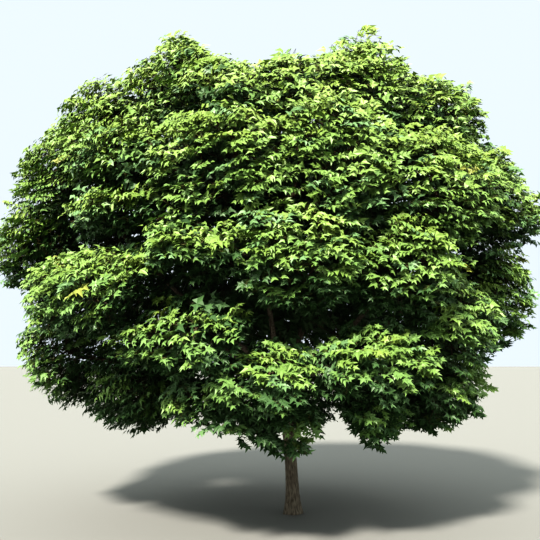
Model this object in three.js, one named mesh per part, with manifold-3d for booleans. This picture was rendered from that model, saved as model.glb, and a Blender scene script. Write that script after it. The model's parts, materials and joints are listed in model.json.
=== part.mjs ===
// A globe-headed maple: one short trunk, nine boughs and fifty masses of foliage.
// Millimetres, +Z up. The flat cut of the trunk at the ground is at the origin, and -Y is the front.
import * as THREE from "three";
import { mergeVertices } from "three/addons/utils/BufferGeometryUtils.js";
import Module from "manifold-3d";

const wasm = await Module();
wasm.setup();

// Trunk: its radius at the ground and below the fork, the flare of its foot over five roots, the
// swelling that carries the boughs, and how far the fork leans off the foot
const TRUNK_HEIGHT = 1500;
const TRUNK_RADIUS = 67;
const TRUNK_WAIST = 60;
const HEAD_SWELL = 20;
const HEAD_SPREAD = 260;
const HEAD_BELOW_TOP = 110;
const FLARE = 62;
const FLARE_HEIGHT = 130;
const FLARE_ROOTS = 5;
const FLARE_TURN = 0.6;
const FLARE_DIP = 0.56;
const TRUNK_LEAN_X = -70;
const TRUNK_LEAN_Y = 20;
const TRUNK_SWAY = 14;
const TRUNK_SIDES = 12;
const TRUNK_RINGS = 10;
const RING_CROWDING = 1.5;

// Boughs: thickness where they leave the trunk and at their tips
const BOUGH_RADIUS = 38;
const BOUGH_TIP = 16;
const BOUGH_SIDES = 6;
const BOUGH_RINGS = 6;
const BOUGH_TAPER = 0.8;
const FORK_LOWEST = 1230;
const FORK_HIGHEST = 1470;

// Crown: the surface that the centres of the masses stand on, wider than it is tall, and the height
// over which its slope is taken
const CROWN_SHIFT = -240;
const CROWN_WAIST = 2800;
const CROWN_HALF_WIDTH = 2330;
const CROWN_HALF_DEPTH = 2180;
const CROWN_RISE = 1900;
const CROWN_DROP = 1800;
const CROWN_TUCK = 0.2;
const SLOPE_STEP = 10;

// Masses: how finely they are faceted, how lumpy their surface is, how flat their underside, how
// sharply a peak rises from one
const LOBE_DETAIL = 3;
const SMALL_LOBE_DETAIL = 2;
const SMALL_LOBE_WIDTH = 480;
const LUMPS = 4;
const LUMP_SIZE = 0.045;
const LUMP_PITCH_LEAST = 2.38;
const LUMP_PITCH_MOST = 5.78;
const FLAT_UNDERSIDE = 0.16;
const PEAK_SHARPNESS = 12;
const FIRST_SEED = 101;

// Clearance between pieces that touch, shared by the two of them
const GAP = 0.5;

// The masses of the front, from the top down. Bearing in degrees, 0 to the front and positive to the
// right. Height of the centre. Half sizes along the crown's surface, sideways and up the slope, and
// through it. Last, how far the centre stands out of the crown's surface.
const FRONT_MASSES = [
  ["left_peak", -25, 3900, 570, 450, 460, 0],
  ["mid_top", -8, 3640, 560, 470, 480, -20],
  ["mid_hump", 6, 3780, 430, 470, 460, 0],
  ["right_peak", 27, 3900, 460, 510, 500, 0],
  ["right_brow", 43, 3810, 480, 500, 450, 0],
  ["right_shoulder", 58, 3860, 480, 500, 450, 0],
  ["left_dome", -48, 3640, 620, 490, 470, 0],
  ["left_upper", -68, 3380, 610, 570, 430, 50],
  ["left_tip", -75, 2800, 640, 560, 430, 95],
  ["right_step", 68, 3240, 560, 560, 420, 10],
  ["right_tip", 79, 3060, 470, 370, 360, 190],
  ["face_left", -34, 3280, 760, 330, 470, 0],
  ["face_left_fringe", -32, 2860, 600, 190, 400, 0],
  ["face_mid", -10, 3170, 660, 600, 480, 0],
  ["face_right", 13, 3180, 660, 600, 480, 0],
  ["face_far_right", 38, 3060, 660, 600, 470, 0],
  ["mid_left", -15, 2500, 560, 270, 450, 0],
  ["middle", 6, 2430, 560, 490, 450, 0],
  ["mid_right", 28, 2360, 560, 480, 440, 0],
  ["left_shelf", -38, 2180, 1000, 390, 480, 60],
  ["right_cluster", 77, 2260, 640, 640, 420, 30],
  ["right_inner", 46, 1900, 500, 520, 420, -40],
  ["lower_left", -80, 1660, 640, 570, 360, 60],
  ["mid_left_shelf", -19, 1800, 680, 300, 430, 0],
  ["low_shelf", -1, 1450, 560, 260, 400, 0],
  ["right_shelf", 25, 1590, 560, 330, 420, 0],
  ["right_skirt", 55, 1310, 440, 420, 380, -60],
  ["under_left", -72, 1190, 900, 500, 420, -480],
  ["tuft_left", -16, 1220, 380, 260, 260, -60],
  ["tuft_mid", 2, 1050, 380, 300, 260, -120],
  ["tuft_right", 29, 1120, 300, 300, 260, -60],
];

// Masses that rise to a peak, and by what share of their height
const PEAKS = { left_peak: 0.65, right_peak: 0.5 };

// The rings that close the crown behind: name, number of masses, bearings of the two front masses
// that the ring closes between, height, half sizes and how far it stands out
const BACK_RINGS = [
  { name: "back_top", count: 4, from: 56, to: 298, height: 3880, size: [960, 700, 480], out: 0 },
  { name: "back_high", count: 4, from: 71, to: 290, height: 3120, size: [1040, 680, 480], out: 30 },
  { name: "back_low", count: 4, from: 70, to: 290, height: 2280, size: [1040, 660, 460], out: 20 },
  { name: "back_skirt", count: 3, from: 64, to: 290, height: 1340, size: [1130, 730, 400], out: -60 },
];

// Every other mass of a ring stands higher by twice this
const RING_STEP = 60;

// The masses that close the crown's top: bearing, height and how far each is sunk in, one size for all
const TOP_MASSES = [
  ["top_left", -88, 4510, -250],
  ["top_right", 88, 4530, -220],
  ["top_back", 178, 4560, -200],
  ["top_front", -2, 4320, -520],
];
const TOP_SIZE = [980, 980, 450];

// Boughs: the bearing and height that each one reaches for, and how much it bows out on the way
const BOUGHS = [
  ["bough_front", -4, 3150, 0.06],
  ["bough_front_right", 40, 3000, 0.07],
  ["bough_right", 84, 2950, 0.06],
  ["bough_back_right", 130, 3050, 0.07],
  ["bough_back", 176, 3000, 0.06],
  ["bough_back_left", -132, 3100, 0.07],
  ["bough_left", -84, 2950, 0.06],
  ["bough_front_left", -44, 3080, 0.07],
  ["bough_leader", 60, 4420, 0.04],
];

const BARK = new THREE.MeshStandardMaterial({ color: 0x6e6456, roughness: 0.9, metalness: 0 });
const LEAF_GREENS = [0x4f7a2a, 0x5c8a2e, 0x6b9a35, 0x476f2c];

// A repeatable stream of numbers from 0 to 1
function seeded(seed) {
  let state = seed >>> 0;
  return () => {
    state = (state + 0x6d2b79f5) >>> 0;
    let mixed = Math.imul(state ^ (state >>> 15), state | 1);
    mixed ^= mixed + Math.imul(mixed ^ (mixed >>> 7), mixed | 61);
    return ((mixed ^ (mixed >>> 14)) >>> 0) / 4294967296;
  };
}

// A closed geometry as a solid that can be cut
function solidOf(geometry) {
  const bare = geometry.clone();
  bare.deleteAttribute("normal");
  bare.deleteAttribute("uv");
  const merged = mergeVertices(bare, 1e-3);
  const mesh = new wasm.Mesh({
    numProp: 3,
    vertProperties: new Float32Array(merged.attributes.position.array),
    triVerts: new Uint32Array(merged.index.array),
  });
  return new wasm.Manifold(mesh);
}

// The largest single body of a solid, as what is left of a limb or a mass after its cuts
function mainBody(solid) {
  const bodies = solid.decompose();
  bodies.sort((a, b) => b.volume() - a.volume());
  return bodies[0];
}

function meshOf(name, solid, material) {
  const cut = solid.getMesh();
  const geometry = new THREE.BufferGeometry();
  geometry.setAttribute("position", new THREE.BufferAttribute(cut.vertProperties, 3));
  geometry.setIndex(new THREE.BufferAttribute(cut.triVerts, 1));
  geometry.computeVertexNormals();
  const mesh = new THREE.Mesh(geometry, material);
  mesh.name = name;
  return mesh;
}

// A closed skin over rings of points, each ring a list of the same number of points
function skin(rings) {
  const sides = rings[0].length;
  const points = rings.flat();
  const faces = [];
  for (let i = 0; i < rings.length - 1; i++) {
    for (let j = 0; j < sides; j++) {
      const a = i * sides + j;
      const b = i * sides + ((j + 1) % sides);
      faces.push(a, b, b + sides, a, b + sides, a + sides);
    }
  }
  const last = (rings.length - 1) * sides;
  for (let j = 1; j < sides - 1; j++) {
    faces.push(0, j + 1, j);
    faces.push(last, last + j, last + j + 1);
  }
  const geometry = new THREE.BufferGeometry();
  geometry.setAttribute("position", new THREE.Float32BufferAttribute(points.flatMap((p) => p.toArray()), 3));
  geometry.setIndex(faces);
  return geometry;
}

// The trunk's axis at a height, with its lean and a slight sway
function trunkAxis(height) {
  const t = height / TRUNK_HEIGHT;
  const lean = t * t * (3 - 2 * t);
  const sway = TRUNK_SWAY * Math.sin(Math.PI * 2 * t) * t;
  return new THREE.Vector3(TRUNK_LEAN_X * lean + sway, TRUNK_LEAN_Y * lean, height);
}

// The trunk's radius: roots flare out at the foot, and a swelling carries the boughs
function trunkRadius(height, angle) {
  const taper = THREE.MathUtils.lerp(TRUNK_RADIUS, TRUNK_WAIST, height / TRUNK_HEIGHT);
  const flare = FLARE * Math.exp(-height / FLARE_HEIGHT);
  const roots = 1 - FLARE_DIP * (0.5 - 0.5 * Math.cos(FLARE_ROOTS * angle + FLARE_TURN));
  const fromHead = (height - TRUNK_HEIGHT + HEAD_BELOW_TOP) / HEAD_SPREAD;
  const swell = HEAD_SWELL * Math.exp(-fromHead * fromHead);
  return taper + flare * roots + swell;
}

function trunk(grown) {
  const rings = [];
  for (let i = 0; i <= TRUNK_RINGS; i++) {
    const t = i / TRUNK_RINGS;
    const height = TRUNK_HEIGHT * t ** RING_CROWDING;
    const centre = trunkAxis(height);
    const ring = [];
    for (let j = 0; j < TRUNK_SIDES; j++) {
      const angle = (j / TRUNK_SIDES) * Math.PI * 2;
      const radius = trunkRadius(height, angle) + grown;
      const point = new THREE.Vector3(Math.cos(angle) * radius, Math.sin(angle) * radius, 0);
      ring.push(point.add(centre));
    }
    rings.push(ring);
  }
  for (const point of rings.at(-1)) point.z += grown;
  return solidOf(skin(rings));
}

// The level half width of the crown's surface at a height, as a share of its greatest
function crownShare(height) {
  const above = (height - CROWN_WAIST) / CROWN_RISE;
  if (above > 0) return Math.sqrt(Math.max(0, 1 - above * above));
  const below = (CROWN_WAIST - height) / CROWN_DROP;
  return 1 - CROWN_TUCK * below * below;
}

// A place on the crown's surface, with the way that faces out of the crown there
function crownPlace(bearing, height, out) {
  const angle = THREE.MathUtils.degToRad(bearing);
  const share = crownShare(height);
  const sideways = CROWN_HALF_WIDTH * Math.sin(angle);
  const forward = -CROWN_HALF_DEPTH * Math.cos(angle);
  const rise = crownShare(height + SLOPE_STEP) - crownShare(height - SLOPE_STEP);
  const slope = rise / (2 * SLOPE_STEP);
  const reach = Math.hypot(sideways, forward);
  const outward = new THREE.Vector3(sideways, forward, -slope * reach * reach).normalize();
  const centre = new THREE.Vector3(CROWN_SHIFT + sideways * share, forward * share, height);
  return { centre: centre.addScaledVector(outward, out), outward };
}

// A seeded, smooth unevenness round a mass, near 1
function lumps(random) {
  const waves = [];
  for (let i = 0; i < LUMPS; i++) {
    const axis = new THREE.Vector3(random() - 0.5, random() - 0.5, random() - 0.5).normalize();
    const pitch = THREE.MathUtils.lerp(LUMP_PITCH_LEAST, LUMP_PITCH_MOST, random());
    waves.push({ axis, pitch, start: random() * Math.PI * 2 });
  }
  return (way) => {
    let height = 1;
    for (const { axis, pitch, start } of waves) {
      height += LUMP_SIZE * Math.sin(pitch * way.dot(axis) + start);
    }
    return height;
  };
}

// A mass of foliage as it grows alone, before it meets its neighbours
function lobe({ bearing, height, size, out, peak, seed }, grown) {
  const [across, up, through] = size;
  const { centre, outward } = crownPlace(bearing, height, out);
  const sideways = new THREE.Vector3(0, 0, 1).cross(outward).normalize();
  const upslope = outward.clone().cross(sideways);
  const unevenness = lumps(seeded(seed));
  const detail = across < SMALL_LOBE_WIDTH && peak === 0 ? SMALL_LOBE_DETAIL : LOBE_DETAIL;
  const geometry = new THREE.OctahedronGeometry(1, detail);
  const places = geometry.attributes.position;
  const way = new THREE.Vector3();
  for (let i = 0; i < places.count; i++) {
    way.fromBufferAttribute(places, i).normalize();
    const point = new THREE.Vector3()
      .addScaledVector(sideways, way.x * across)
      .addScaledVector(upslope, way.y * up)
      .addScaledVector(outward, way.z * through);
    const upward = point.z / point.length();
    const underside = FLAT_UNDERSIDE * Math.max(0, -upward) ** 2;
    const reach = unevenness(way) * (1 - underside) * (1 + peak * Math.max(0, upward) ** PEAK_SHARPNESS);
    point.setLength(point.length() * reach + grown).add(centre);
    places.setXYZ(i, point.x, point.y, point.z);
  }
  return { centre, solid: solidOf(geometry) };
}

// How far a solid reaches from a point along a way, taken from its corner that lies nearest to that way
function reachAlong(solid, from, way) {
  const { vertProperties, numProp } = solid.getMesh();
  let best = 0;
  let bestTurn = -Infinity;
  const point = new THREE.Vector3();
  for (let i = 0; i < vertProperties.length; i += numProp) {
    point.fromArray(vertProperties, i).sub(from);
    const length = point.length();
    const turn = point.dot(way) / length;
    if (turn > bestTurn) {
      bestTurn = turn;
      best = length;
    }
  }
  return best;
}

// Two masses that grow into each other are parted by a flat face where they meet
function part(a, b) {
  if (a.solid.intersect(b.solid).volume() === 0) return;
  const way = b.centre.clone().sub(a.centre);
  const apart = way.length();
  way.normalize();
  const reachA = reachAlong(a.whole, a.centre, way);
  const reachB = reachAlong(b.whole, b.centre, way.clone().negate());
  const fromA = (apart * apart + reachA * reachA - reachB * reachB) / (2 * apart);
  const offset = a.centre.dot(way) + fromA;
  a.solid = mainBody(a.solid.trimByPlane(way.clone().negate().toArray(), -(offset - GAP / 2)));
  b.solid = mainBody(b.solid.trimByPlane(way.toArray(), offset + GAP / 2));
}

// Every mass of the crown by name, with its place and size
function massRows() {
  const rows = [];
  for (const [name, bearing, height, across, up, through, out] of FRONT_MASSES) {
    rows.push({ name, bearing, height, size: [across, up, through], out });
  }
  for (const { name, count, from, to, height, size, out } of BACK_RINGS) {
    for (let i = 1; i <= count; i++) {
      const bearing = THREE.MathUtils.lerp(from, to, i / (count + 1));
      const step = i % 2 ? RING_STEP : -RING_STEP;
      rows.push({ name: `${name}_${i}`, bearing, height: height + step, size, out });
    }
  }
  for (const [name, bearing, height, out] of TOP_MASSES) {
    rows.push({ name, bearing, height, size: TOP_SIZE, out });
  }
  rows.forEach((row, i) => {
    row.seed = FIRST_SEED + i;
    row.peak = PEAKS[row.name] ?? 0;
  });
  return rows;
}

function crownMasses() {
  const masses = massRows().map((row) => {
    const { centre, solid } = lobe(row, 0);
    return { name: row.name, centre, solid, whole: solid, grown: lobe(row, GAP).solid };
  });
  masses.forEach((a, i) => masses.slice(i + 1).forEach((b) => part(a, b)));
  return masses;
}

// A bough that tapers along its curve
function limb(curve, grown) {
  const frames = curve.computeFrenetFrames(BOUGH_RINGS, false);
  const rings = [];
  for (let i = 0; i <= BOUGH_RINGS; i++) {
    const t = i / BOUGH_RINGS;
    const centre = curve.getPointAt(t);
    const radius = THREE.MathUtils.lerp(BOUGH_RADIUS, BOUGH_TIP, t ** BOUGH_TAPER) + grown;
    const ring = [];
    for (let j = 0; j < BOUGH_SIDES; j++) {
      const angle = (j / BOUGH_SIDES) * Math.PI * 2;
      const point = centre.clone();
      point.addScaledVector(frames.normals[i], Math.cos(angle) * radius);
      point.addScaledVector(frames.binormals[i], Math.sin(angle) * radius);
      ring.push(point);
    }
    rings.push(ring);
  }
  return solidOf(skin(rings));
}

// A bough's curve: out of the trunk, bowed outward, to the mass that it reaches for
function boughCurve(index, bearing, height, bow) {
  const start = trunkAxis(THREE.MathUtils.lerp(FORK_LOWEST, FORK_HIGHEST, index / (BOUGHS.length - 1)));
  const { centre } = crownPlace(bearing, height, 0);
  const span = centre.clone().sub(start);
  const level = new THREE.Vector3(span.x, span.y, 0).normalize();
  const middle = start.clone().addScaledVector(span, 0.5);
  middle.addScaledVector(level, bow * span.length());
  middle.z -= bow * span.length();
  return new THREE.QuadraticBezierCurve3(start, middle, centre);
}

function boughs(masses) {
  const made = [];
  let taken = trunk(GAP);
  for (const mass of masses) taken = taken.add(mass.grown);
  BOUGHS.forEach(([name, bearing, height, bow], index) => {
    const curve = boughCurve(index, bearing, height, bow);
    const solid = limb(curve, 0).subtract(taken);
    made.push(meshOf(name, mainBody(solid), BARK));
    taken = taken.add(limb(curve, GAP));
  });
  return made;
}

const tree = new THREE.Group();
tree.add(meshOf("trunk", trunk(0), BARK));
const masses = crownMasses();
tree.add(...boughs(masses));
masses.forEach(({ name, solid }, i) => {
  const leaf = new THREE.MeshStandardMaterial({
    color: LEAF_GREENS[i % LEAF_GREENS.length],
    roughness: 0.55,
    metalness: 0,
  });
  tree.add(meshOf(name, solid, leaf));
});

export default tree;
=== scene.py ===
"""The looks of the globe-headed maple: bark, boughs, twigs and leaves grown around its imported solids."""

import json
import math
from collections import namedtuple

import bpy
import numpy as np
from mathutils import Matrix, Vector, noise
from mathutils.bvhtree import BVHTree

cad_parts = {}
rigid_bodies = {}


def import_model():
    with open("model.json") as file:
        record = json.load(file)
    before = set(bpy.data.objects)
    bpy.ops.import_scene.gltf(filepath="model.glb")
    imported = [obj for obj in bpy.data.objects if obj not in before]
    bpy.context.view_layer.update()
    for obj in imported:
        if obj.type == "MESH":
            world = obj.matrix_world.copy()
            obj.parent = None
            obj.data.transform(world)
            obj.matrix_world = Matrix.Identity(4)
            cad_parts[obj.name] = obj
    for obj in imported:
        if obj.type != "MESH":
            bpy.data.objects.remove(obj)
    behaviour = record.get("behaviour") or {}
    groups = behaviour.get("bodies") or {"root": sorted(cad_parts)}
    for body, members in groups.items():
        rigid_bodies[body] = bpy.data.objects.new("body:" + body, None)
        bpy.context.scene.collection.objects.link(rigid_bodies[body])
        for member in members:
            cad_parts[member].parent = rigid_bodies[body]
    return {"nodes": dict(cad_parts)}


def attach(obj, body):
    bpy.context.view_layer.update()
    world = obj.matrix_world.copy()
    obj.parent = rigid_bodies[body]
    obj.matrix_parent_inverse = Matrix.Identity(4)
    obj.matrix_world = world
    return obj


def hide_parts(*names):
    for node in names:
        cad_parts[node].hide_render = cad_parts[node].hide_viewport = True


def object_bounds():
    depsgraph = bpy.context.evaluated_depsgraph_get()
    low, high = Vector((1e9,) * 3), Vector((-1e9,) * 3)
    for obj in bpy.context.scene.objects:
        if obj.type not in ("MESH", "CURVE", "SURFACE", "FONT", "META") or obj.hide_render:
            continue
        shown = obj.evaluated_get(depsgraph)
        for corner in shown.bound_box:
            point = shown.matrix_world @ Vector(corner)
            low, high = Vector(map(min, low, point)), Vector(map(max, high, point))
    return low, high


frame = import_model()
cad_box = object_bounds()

# Lengths are in metres and angles in radians unless said otherwise. A random range is given by its ends.

# Random draws and directions
SEED = 20
UP = np.array([0.0, 0.0, 1.0])
LEVEL = np.array([1.0, 1.0, 0.0])  # keeps the level part of a vector
TINY = 1e-9  # counts as nothing

# Camera, at the place that the photograph was taken from
CAMERA_PLACE = (-0.24, -7.7, 1.6)
CAMERA_PITCH = 7.4  # how far it looks up, in degrees
CAMERA_LEVEL = 90.0  # its turn about X when it looks level, in degrees
CAMERA_LENS = 46.7  # in millimetres
SENSOR_WIDTH = 36.0  # in millimetres

# Sun
SUN_AZIMUTH = math.radians(-20)  # from the front, negative to the left
SUN_HEIGHT = math.radians(42)
SUN_STRENGTH = 8.4
SUN_SPREAD = math.radians(8)  # its width in the sky, which softens the shadows
SUN_COLOUR = (1.0, 0.95, 0.84)

# Sky
SKY_SEEN = (0.62, 0.68, 0.74, 1.0)  # what the camera sees of it
SKY_LIGHT = (0.90, 0.97, 0.93, 1.0)  # the light that it gives
SKY_STRENGTH = 1.25

# Floor
FLOOR_COLOUR = (0.19, 0.19, 0.185)
FLOOR_ROUGHNESS = 0.9
FLOOR_SPECULAR = 0.1
FLOOR_SIZE = 400.0
FLOOR_DROP = 0.001  # below the foot of the trunk

# Crown
CROWN_HEART = np.array([-0.24, 0.0, 2.5])  # the place inside it that it spreads from
OUTWARD_FLATNESS = np.array([1.0, 1.0, 0.9])  # flattens the way outward
CROWN_FOOT = 0.7
CROWN_TOP = 5.0

# Tips of the shoots on the masses
SHOOT_TRIES = 200000  # random places, of which those far enough apart are kept
SHOOT_SPACING = 0.080
UPPER_SPACING = 0.065  # above the leaves with five lobes
INNER_SPACING = 2.4  # times as far apart where the crown closes them in

# Ways out of the crown from a face, which rays look for
CLEAR_START = 0.03  # how far off the face the rays start
CLEAR_TURNS = (0.0, 0.7, 1.6)  # how much each turns outward from the face's normal

# Contact of masses
CONTACT_DEPTH = 0.035  # how near another mass a place counts as lying against it
CONTACT_SHARE = 0.04  # the share of such places that still carry a shoot

# Inside of the crown
INNER_REACH = 0.80  # how far out it reaches, where the outline is at about 1
INNER_TIPS = 700
INNER_SHELL = (0.35, 0.62)  # how far out those tips lie
GOLDEN_TURN = 3 - math.sqrt(5)  # from each of them to the next, in half turns

# Layers of tips
DEEP_SHARE = 0.22  # the share of shoots in the second layer
DEEP_FACING = -0.4  # how far out a face must look to have a second layer
OUTER_LAYER = (-0.05, 0.04)  # depths under the face
DEEP_LAYER = (0.13, 0.27)  # depths of the second layer
HIDDEN_LAYER = (0.0, 0.12)  # depths where the crown closes the face in

# Strays, the shoots that stand out of the crown
STRAY_SHARE = 0.025
STRAY_FACING = 0.3  # how far out a face must look to have them
STRAY_REACH = (0.06, 0.13)
BOX_MARGIN = 0.03  # how far every tip stays inside the box of the solids

# Tiers of sprays
TIER_PITCH = 0.10  # from one tier to the next
TIER_PULL = 0.35  # the share of the way to its tier that a tip is moved
TIER_DROOP = 0.30  # away from the middle of a mass
TIER_WAVER = 0.25  # up and down
TIER_WAVE_LENGTH = 0.45

# Patches of the crown whose shoots and blades turn alike
PATCH_SIZE = 0.55
SHOOT_PATCHES = 7.0  # where the pattern for the shoots starts
BLADE_PATCHES = 31.0  # where the pattern for the blades starts

# Shoots
SHOOT_LENGTH = (0.13, 0.24)
TOP_GAIN = 1.4  # what the upward part of a face's normal counts for as the crown's top
TOP_LOSS = 0.2  # what is taken off that

# Directions of shoots
SHOOT_OUTWARD = 0.6  # how much they follow the way outward as well as the face's normal
SHOOT_WANDER = 0.35
SHOOT_SIDEWAYS = 1.3  # how much they turn by patch
SHOOT_RISE = 0.45  # on top of the crown
SHOOT_DROOP = 0.22  # at its sides
SHOOT_RISE_WANDER = 0.1
SHOOT_SAG = 0.03  # of the tip, at the crown's sides
SHOOT_BEND = 0.012  # of the tip, any way

# Pairs of leaves on a shoot
LEAF_PAIRS = (4, 5)  # of leaves with five lobes
UPPER_PAIRS = (5, 6)  # of leaves with three lobes
INNER_PAIRS = 3
FIRST_PAIR = 0.22  # where it stands, as a share of the shoot
PAIR_SPAN = 0.78  # from the first pair to the last
PAIR_SHIFT = (-0.04, 0.02)

# Planes of the pairs
PLANE_ROLL = 0.3  # how far the upright of a shoot's plane wanders
PLANE_TURN = 0.3  # about the shoot, from shoot to shoot
PAIR_TURN = 0.4  # about the shoot, from pair to pair
SPRAY_THICKNESS = 0.25  # for a breadth of 1

# Stalks of leaves
STALK_LENGTH = (0.025, 0.055)
STALK_RADIUS = 0.0014
STALK_AT_FOOT = 1.15  # times that length at the foot of the shoot
STALK_FALL = 0.6  # what is taken off that towards its tip
STALK_FORWARD = 0.45  # how much they follow the shoot
STALK_RISE = 0.12
STALK_WANDER = 0.12

# Sizes of leaves
LEAF_WIDTH = (0.080, 0.112)  # with five lobes
UPPER_LEAF_WIDTH = (0.068, 0.094)  # with three lobes
WIDTH_AT_FOOT = 1.1  # times that width at the foot of the shoot
WIDTH_FALL = 0.38  # what is taken off that towards its tip
DEEP_LEAF = 1.2  # times as large at the edge of the inside
INNER_LEAF = 1.7  # times as large from the next reach inward
LARGEST_LEAF_REACH = 0.60
LEAF_CURL = (0.4, 2.0)  # times as far off the blade's plane as its outline is drawn

# Kinds of leaves
STAR_LEAF_TOP = 2.3  # the height up to which they have five lobes
STAR_LEAF_FADE = 0.35  # how much that varies

# Tilt of blades from level
LEAF_TILT_FOOT = 0.60  # at the foot of the crown
LEAF_TILT_TOP = 0.80  # at its top
LEAF_TILT_INNER = 1.1  # inside it
TILT_WANDER = 0.2
LEAN_TO_LIGHT = 0.8  # how much they tilt to the light as well as outward
LEAN_WANDER = 0.35

# Slant of blades
CROWN_SLANT = np.array([-0.18, 0.0, 0.0])  # the same for all
PATCH_SLANT = 0.45  # from patch to patch
SHOOT_SLANT = 0.22  # from shoot to shoot
LEAF_SLANT = 0.13  # from leaf to leaf

# Midribs
RIB_FORWARD = 0.5  # how much they follow the shoot towards its tip
RIB_OUTWARD = 0.3
RIB_WANDER = 0.2

# Colours of sprays: lighter greens high, on upward faces and outside in the crown, partly the real tone of
# sunlit leaves and partly painted light
BRIGHT_HEIGHT = 0.55  # what the height in the crown counts for
BRIGHT_SLOPE = 0.30  # what the upward part of the face's normal counts for
BRIGHT_FACING = 0.15  # what the face's look outward counts for
BRIGHT_WANDER = 0.16
TONE_STEPS = (0.72, 0.56, 0.40, 0.22, 0.02)  # from each green to the next darker one
BLUISH_SHARE = 0.07
TINTED_SHARE = 0.006

# Overhangs, under which sprays take the darkest green as painted shade
OVERHANG_REACH = 0.8  # how near a mass must be to hang over a tip
OVERHANG_STEEPNESS = 1.2  # how much upward it is looked for, for 1 outward

# Joined pieces of leaves
LEAF_PIECES = 6

# Lines of the boughs, through sections of their solids
BOUGH_SECTIONS = 10
BOUGH_END = 0.07  # the share of a bough beyond the first section, and beyond the last
TRUNK_REACH = 0.09  # how far the line goes on into the trunk
MASS_REACH = 0.15  # how far it goes on into the mass
BOUGH_FOOT_SWELL = 1.05  # times as thick in the trunk as at the first section
BOUGH_TIP_TAPER = 0.8  # times as thick in the mass as at the last section
BOUGH_PLACES = 24  # which limbs can leave

# Limbs
LENGTH_COST = 0.55  # of the way from the trunk, where the way to the mass costs 1
FOOT_COST = 10.0  # of leaving the first part of a limb
FOOT_PART = 4  # that part is one place in so many
LIMB_END = 0.3  # the share of the way to the middle of its mass that a limb leaves out
LIMB_OUTWARD = 0.3  # how much it turns outward there
LIMB_PLACES = 9

# Branches and twigs
SHOOT_RADIUS = 0.0017
THICKENING = 0.44  # the power of its number of shoots that a radius grows with
THICKEST_BRANCH = 0.019
TWIG_FAN = 4  # the most shoots in a fan of twigs
BRANCH_LOAD = 7  # the fewest shoots on a branch
BRANCH_RINGS = 3
TWIG_RINGS = 2

# Forks
FORK_SHARE = (0.38, 0.52)  # of the way to the middle of the branch's shoots
FORK_WANDER = 0.08
FORK_HEADING = 0.3  # how much the branch keeps its heading
FORK_SPLIT = (0.34, 0.66)  # the share of the shoots that one side takes

# Tubes
LIMB_SIDES = 7
BRANCH_SIDES = 4
TWIG_SIDES = 3
SHOOT_SIDES = 3
STEEP_CHORD = 0.8  # how upright one is when its sides are set out from X and not from Z
BOUGH_ASIDE = (0.3, 0.1, 1.0)  # the way that a bough's sides are set out from
SHOOT_ASIDE = (0.3, 0.2, 1.0)  # the way that a shoot's sides are set out from

# Skins of the trunk and the boughs
TRUNK_RINGS = 200
TRUNK_SIDES = 72
TRUNK_SOFTENING = 3  # how often its facets are rounded
TRUNK_END_GAP = 0.004  # from the last ring to the trunk's top
SECTION_LOW = 0.003  # the height of the lowest section that rings are taken from
SECTION_HIGH = 0.006  # from the highest such section to the trunk's top
BOUGH_RINGS = 48
BOUGH_SIDES = 16
COLLAR_SWELL = 0.55  # where a bough leaves the trunk
COLLAR_LENGTH = 0.09

# Bark relief
BARK_SCALE = 55.0
TRUNK_RELIEF = 0.006
BOUGH_RELIEF = 0.0022
TRUNK_STRETCH = 0.2  # how fine it is along the trunk, for 1 across it
BOUGH_STRETCH = 0.25  # how fine it is along a bough, for 1 across it
BOUGH_PATTERN = np.array([0.0, 0.3, 0.0])  # where the boughs' pattern starts
RIDGES = 0.55
GRAIN = 0.25
GRAIN_SCALE = 3.1  # times as fine as the ridges
KNOTS = 0.3
KNOT_SCALE = 5.0
RELIEF_LEVEL = 0.4  # the relief that lies level with the solid

# Bark map, as shares of its size
TRUNK_STRIP = 0.43  # the width of the trunk's upright strip
BOUGH_STRIP = 0.05  # the width of a bough's upright strip
STRIP_MARGIN = 0.012  # between two strips
STRIP_TOP = 0.94
END_HEIGHT = 0.97  # of the middle of the discs for the ends
END_RADIUS = 0.02  # the largest radius of a disc
END_SHARE = 0.2  # its radius as a share of the strip's width, if that is less
END_PLACES = (0.25, 0.75)  # where the two discs stand across the strip

# Leaf materials, from the brightest green to the darkest, which is painted shade, and then two that are
# dealt out by chance
LEAF_COLOURS = {
    "leaf_lime": (0.168, 0.242, 0.055),
    "leaf_yellow_green": (0.158, 0.238, 0.058),
    "leaf_fresh": (0.152, 0.236, 0.062),
    "leaf_mid": (0.142, 0.230, 0.064),
    "leaf_deep": (0.122, 0.208, 0.064),
    # painted shade: the darkest green, for the sprays inside the crown and under overhangs
    "leaf_painted_shade": (0.050, 0.100, 0.036),
    "leaf_bluish": (0.118, 0.206, 0.090),
    "leaf_tinted": (0.200, 0.222, 0.052),
}
PAINTED_SHADE, BLUISH, TINTED = (list(LEAF_COLOURS).index(n) for n in ("leaf_painted_shade", "leaf_bluish", "leaf_tinted"))

# Finishes of leaves, stalks and twigs
LEAF_ROUGHNESS = 0.48
LEAF_SPECULAR = 0.42
STALK_COLOUR = (0.160, 0.150, 0.050)
STALK_ROUGHNESS = 0.6
TWIG_COLOUR = (0.075, 0.052, 0.034)
TWIG_ROUGHNESS = 0.8
TWIG_SPECULAR = 0.3

# Finish of the bark
BARK_ROUGHNESS = 0.88
BARK_SPECULAR = 0.25
BARK_GRAIN_STRETCH = 0.22  # how fine the grain is along the height, for 1 across it
BARK_GRAIN_SCALE = 70.0
BARK_GRAIN_DETAIL = 6.0
BARK_DARK = (0.3, (0.050, 0.038, 0.028, 1.0))  # the value of the grain that is dark, and its colour
BARK_PALE = (0.72, (0.210, 0.180, 0.142, 1.0))  # the value of the grain that is pale, and its colour

# Tips of shoots, as rows: the place of each, the normal of the face there, the number of its mass, how
# far the face looks outward, and whether the crown closes it in
Tips = namedtuple("Tips", "places normals owner facing hidden")

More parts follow.
